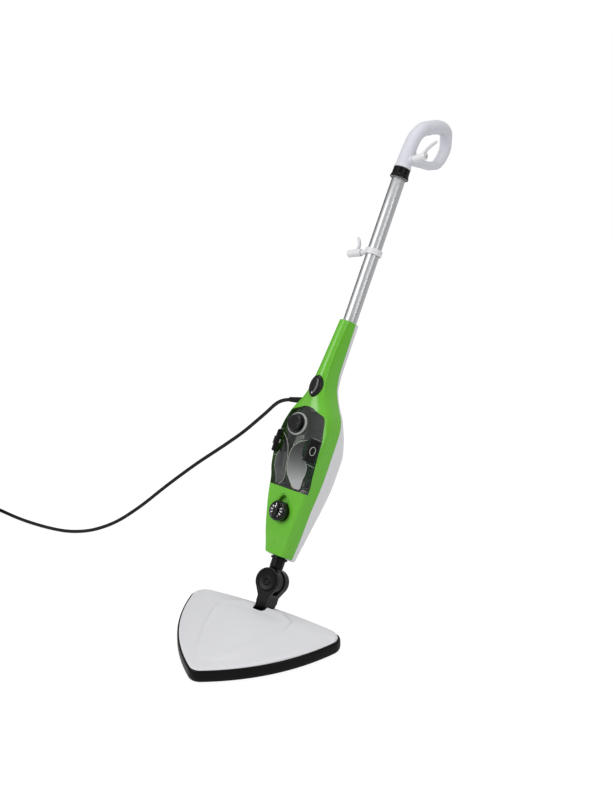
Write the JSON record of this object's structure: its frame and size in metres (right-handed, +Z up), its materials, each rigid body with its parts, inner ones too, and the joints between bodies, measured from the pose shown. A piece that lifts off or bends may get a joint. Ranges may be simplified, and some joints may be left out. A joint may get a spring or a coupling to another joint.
{
  "type": "steam mop",
  "caption": "Upright steam mop: triangular mop head on a swivelling knuckle, hand unit with water tank, slim tube, looped grip, cord hooks and mains cord.",
  "frame": {"origin": "centre of the underside of the box around the mop without its cord, on the floor", "axes": "+Z up from the floor; -Y towards the mop head's nose and the user's far side, with the handle leaning back towards +Y; +X to the right when facing along +Y"},
  "size_m": [1.0169, 0.7512, 0.847],
  "materials": {
    "lime_shell": "gloss",
    "recess_green": "gloss",
    "white_shell": "satin",
    "grip_white": "satin",
    "black_plastic": "satin",
    "gloss_black": "gloss",
    "black_rubber": "matte",
    "aluminium": "brushed",
    "zinc_steel": "satin",
    "brass": "satin",
    "smoked_clear": "gloss",
    "clear": "gloss",
    "circuit_board": "matte",
    "silicone": "matte",
    "hook_strip": "matte"
  },
  "bodies": {
    "hand_unit": {"front_cover": "lime_shell", "rear_cover": "white_shell", "dial_surround": "recess_green", "nozzle_collar": "black_plastic", "tube": "aluminium", "tube_lower_plug": "black_plastic", "tube_top_plug": "grip_white", "grip_collar": "black_plastic", "collar_insert": "white_shell", "grip_left_half": "grip_white", "grip_right_half": "grip_white", "grip_screw_1": "zinc_steel", "grip_screw_2": "zinc_steel", "grip_screw_3": "zinc_steel", "tube_clip": "white_shell", "upper_hook_pin": "zinc_steel", "lower_hook_pin": "zinc_steel", "steam_regulator": "brass", "button_spring": "zinc_steel", "micro_switch": "black_plastic", "boiler": "aluminium", "thermostat": "zinc_steel", "pump": "black_plastic", "control_board": "circuit_board", "tank_hose": "silicone", "boiler_hose": "silicone", "tank_valve": "brass", "cord_gland": "black_rubber", "power_cord": "black_rubber", "cord_coil": "black_rubber", "plug_body": "black_rubber"},
    "neck": {"neck_pipe": "black_plastic", "neck_o_ring": "black_rubber"},
    "fork": {"lower_fork": "black_plastic", "swivel_cap": "black_plastic", "swivel_pin": "zinc_steel"},
    "mop_head": {"head_top_shell": "white_shell", "head_base": "black_plastic", "head_axle": "zinc_steel", "head_screw_1": "zinc_steel", "head_screw_2": "zinc_steel", "head_screw_3": "zinc_steel", "steam_manifold": "white_shell", "cloth_strip_1": "hook_strip", "cloth_strip_2": "hook_strip"},
    "dial": {"steam_dial": "gloss_black", "dial_pointer": "aluminium", "dial_spindle": "zinc_steel"},
    "button": {"steam_button": "gloss_black", "indicator_lens": "clear"},
    "tank": {"water_tank": "smoked_clear", "tank_mouth_ring": "clear", "latch_spring_left": "zinc_steel", "latch_spring_right": "zinc_steel"},
    "cap": {"tank_cap": "black_plastic", "tank_cap_seal": "black_rubber"},
    "latch_left": {"tank_latch_left": "black_plastic"},
    "latch_right": {"tank_latch_right": "black_plastic"},
    "upper_cord_hook": {"upper_hook": "white_shell"},
    "lower_cord_hook": {"lower_hook": "white_shell"}
  },
  "joints": [
    {"name": "neck_turn", "type": "hinge", "parent": "hand_unit", "child": "neck", "pos_m": [-0.0036, -0.1641, 0.045], "axis": [0, 0.5045, 0.8634], "range_deg": [-90, 90]},
    {"name": "knuckle_swivel", "type": "hinge", "parent": "neck", "child": "fork", "pos_m": [-0.0036, -0.14341, 0.0804], "axis": [-0.1132, 0.8578, -0.5013], "range_deg": [-41, 49]},
    {"name": "head_tilt", "type": "hinge", "parent": "fork", "child": "mop_head", "pos_m": [-0.00012, -0.16975, 0.03454], "axis": [0.9914, 0.1308, 0], "range_deg": [-30, 24]},
    {"name": "dial_turn", "type": "hinge", "parent": "hand_unit", "child": "dial", "pos_m": [-0.0036, -0.11263, 0.20603], "axis": [0, -0.8634, 0.5045], "range_deg": [-120, 120]},
    {"name": "button_press", "type": "slide", "parent": "hand_unit", "child": "button", "axis": [0, 0.8634, -0.5045], "range_m": [0, 0.002], "stiffness_N_per_m": 600, "springref_m": -0.002, "deforming": ["button_spring"]},
    {"name": "tank_pull", "type": "slide", "parent": "hand_unit", "child": "tank", "axis": [0, -0.8634, 0.5045], "range_m": [0, 0.06]},
    {"name": "cap_turn", "type": "hinge", "parent": "tank", "child": "cap", "pos_m": [-0.0036, -0.07345, 0.36266], "axis": [0, -0.8634, 0.5045], "range_deg": [0, 90]},
    {"name": "latch_left_press", "type": "slide", "parent": "tank", "child": "latch_left", "axis": [0.766, 0.555, -0.3243], "range_m": [0, 0.0015], "stiffness_N_per_m": 800, "springref_m": -0.002, "deforming": ["latch_spring_left"]},
    {"name": "latch_right_press", "type": "slide", "parent": "tank", "child": "latch_right", "axis": [-0.766, 0.555, -0.3243], "range_m": [0, 0.0015], "stiffness_N_per_m": 800, "springref_m": -0.002, "deforming": ["latch_spring_right"]},
    {"name": "upper_hook_turn", "type": "hinge", "parent": "hand_unit", "child": "upper_cord_hook", "pos_m": [0.01298, 0.23349, 0.78485], "axis": [0.9135, 0.2052, 0.3512], "range_deg": [0, 180]},
    {"name": "lower_hook_turn", "type": "hinge", "parent": "hand_unit", "child": "lower_cord_hook", "pos_m": [-0.02956, 0.13984, 0.6246], "axis": [-0.9703, -0.1221, -0.2089], "range_deg": [0, 180]}
  ]
}
